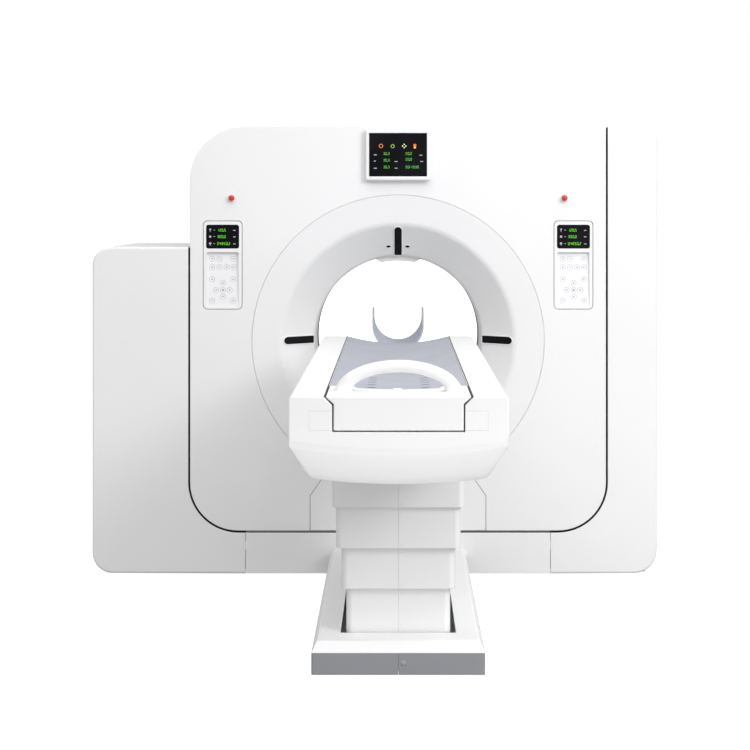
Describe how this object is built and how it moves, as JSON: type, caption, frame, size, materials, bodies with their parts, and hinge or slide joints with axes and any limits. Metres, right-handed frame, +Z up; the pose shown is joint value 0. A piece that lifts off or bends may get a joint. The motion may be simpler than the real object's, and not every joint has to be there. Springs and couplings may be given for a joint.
{
  "type": "tilting medical imaging scanner with patient table",
  "caption": "Ring-shaped medical imaging scanner with a tilting gantry between two upright side housings, and a patient table on a telescopic column that slides its cradle through the bore.",
  "frame": {"origin": "on the floor, directly below the isocentre, which is the centre of the bore and 0.970 m up", "axes": "+X to the right as seen from the foot of the table, +Y along the bore away from the table, +Z up"},
  "size_m": [2.35, 3.235, 1.862],
  "materials": {
    "cover_white": "satin",
    "bell_white": "satin",
    "liner_grey": "satin",
    "window_black": "gloss",
    "screen_black": "gloss",
    "panel_grey": "matte",
    "stop_red": "satin",
    "stop_grey": "matte",
    "tier_white": "satin",
    "plinth_grey": "matte",
    "frame_grey": "satin",
    "cast_grey": "rough",
    "steel": "brushed",
    "aluminium": "satin",
    "unit_grey": "satin",
    "rubber_black": "matte",
    "contact_brass": "satin",
    "mat_blue": "matte",
    "pad_grey": "matte"
  },
  "bodies": {
    "stand": {"base_frame": "frame_grey", "levelling_feet": "rubber_black", "towers": "frame_grey", "tilt_bearings": "steel", "left_cabinet_cover": "cover_white", "right_pillar_cover": "cover_white", "surround_panels": "cover_white", "tilt_gearmotor": "unit_grey", "power_unit": "unit_grey", "table_frame": "frame_grey", "plinth_band": "plinth_grey", "base_cover": "cover_white", "fixed_tier": "tier_white", "lift_mast_outer": "aluminium", "lift_pump": "unit_grey"},
    "gantry": {"gantry_frame": "cast_grey", "tilt_trunnions": "steel", "bearing_outer_race": "steel", "front_cover": "cover_white", "lower_front_panel": "cover_white", "front_bell": "bell_white", "bore_liner": "liner_grey", "bore_light_cover": "liner_grey", "rear_bell": "bell_white", "rear_cover": "cover_white", "wrap_covers": "cover_white", "bore_windows": "window_black", "display_housing": "cover_white", "display_screens": "screen_black", "control_panels": "panel_grey", "stop_housings": "stop_grey", "drive_belt": "rubber_black", "rotor_motor": "unit_grey"},
    "rotor": {"rotor_frame": "aluminium", "bearing_inner_race": "steel", "slip_ring": "contact_brass", "xray_tube": "unit_grey", "collimator": "unit_grey", "detector": "unit_grey", "generator": "unit_grey", "heat_exchanger": "unit_grey"},
    "drive_pulley": {"drive_pulley": "steel"},
    "tilt_pinion": {"tilt_pinion": "steel"},
    "left_stop_button": {"left_stop_button": "stop_red"},
    "right_stop_button": {"right_stop_button": "stop_red"},
    "tier_2": {"tier_2": "tier_white"},
    "tier_3": {"tier_3": "tier_white"},
    "mast_middle": {"lift_mast_middle": "aluminium"},
    "couch": {"couch_shell": "cover_white", "couch_frame": "frame_grey", "cradle_motor": "unit_grey", "tier_1": "tier_white", "lift_mast_inner": "aluminium"},
    "cradle": {"cradle_board": "cover_white", "cradle_mat": "mat_blue", "cradle_cap": "cover_white", "head_holder": "cover_white", "head_pad": "pad_grey"},
    "drive_roller": {"drive_roller": "steel"},
    "idler_roller": {"idler_roller": "steel"}
  },
  "joints": [
    {"name": "gantry_tilt", "type": "hinge", "parent": "stand", "child": "gantry", "pos_m": [0, 0, 0.97], "axis": [-1, 0, 0], "range_deg": [-30, 30]},
    {"name": "rotor_spin", "type": "hinge", "parent": "gantry", "child": "rotor", "pos_m": [0, 0, 0.97], "axis": [0, 1, 0], "continuous": true},
    {"name": "pulley_spin", "type": "hinge", "parent": "gantry", "child": "drive_pulley", "pos_m": [0.64, 0, 0.41], "axis": [0, 1, 0], "continuous": true},
    {"name": "pinion_spin", "type": "hinge", "parent": "stand", "child": "tilt_pinion", "pos_m": [-1.02, 0, 0.61], "axis": [-1, 0, 0], "range_deg": [-150, 150]},
    {"name": "lift", "type": "slide", "parent": "stand", "child": "couch", "axis": [0, 0, 1], "range_m": [-0.41, 0]},
    {"name": "tier_2_slide", "type": "slide", "parent": "stand", "child": "tier_2", "axis": [0, 0, 1], "range_m": [-0.2734, 0]},
    {"name": "tier_3_slide", "type": "slide", "parent": "stand", "child": "tier_3", "axis": [0, 0, 1], "range_m": [-0.1367, 0]},
    {"name": "mast_slide", "type": "slide", "parent": "stand", "child": "mast_middle", "axis": [0, 0, 1], "range_m": [-0.205, 0]},
    {"name": "cradle_slide", "type": "slide", "parent": "couch", "child": "cradle", "axis": [0, 1, 0], "range_m": [0, 1.5]},
    {"name": "drive_roller_spin", "type": "hinge", "parent": "couch", "child": "drive_roller", "pos_m": [0, -0.93, 0.8997], "axis": [-1, 0, 0], "continuous": true},
    {"name": "idler_roller_spin", "type": "hinge", "parent": "couch", "child": "idler_roller", "pos_m": [0, -0.69, 0.8997], "axis": [-1, 0, 0], "continuous": true},
    {"name": "left_stop_press", "type": "slide", "parent": "gantry", "child": "left_stop_button", "axis": [0, 1, 0], "range_m": [0, 0.004], "stiffness_N_per_m": 1500},
    {"name": "right_stop_press", "type": "slide", "parent": "gantry", "child": "right_stop_button", "axis": [0, 1, 0], "range_m": [0, 0.004], "stiffness_N_per_m": 1500}
  ],
  "couplings": [
    {"joint": "pulley_spin", "follows": "rotor_spin", "ratio": 14.4},
    {"joint": "pinion_spin", "follows": "gantry_tilt", "ratio": -5},
    {"joint": "tier_2_slide", "follows": "lift", "ratio": 0.66667},
    {"joint": "tier_3_slide", "follows": "lift", "ratio": 0.33333},
    {"joint": "mast_slide", "follows": "lift", "ratio": 0.5},
    {"joint": "drive_roller_spin", "follows": "cradle_slide", "rad_per_m": 28.571},
    {"joint": "idler_roller_spin", "follows": "cradle_slide", "rad_per_m": 28.571}
  ]
}
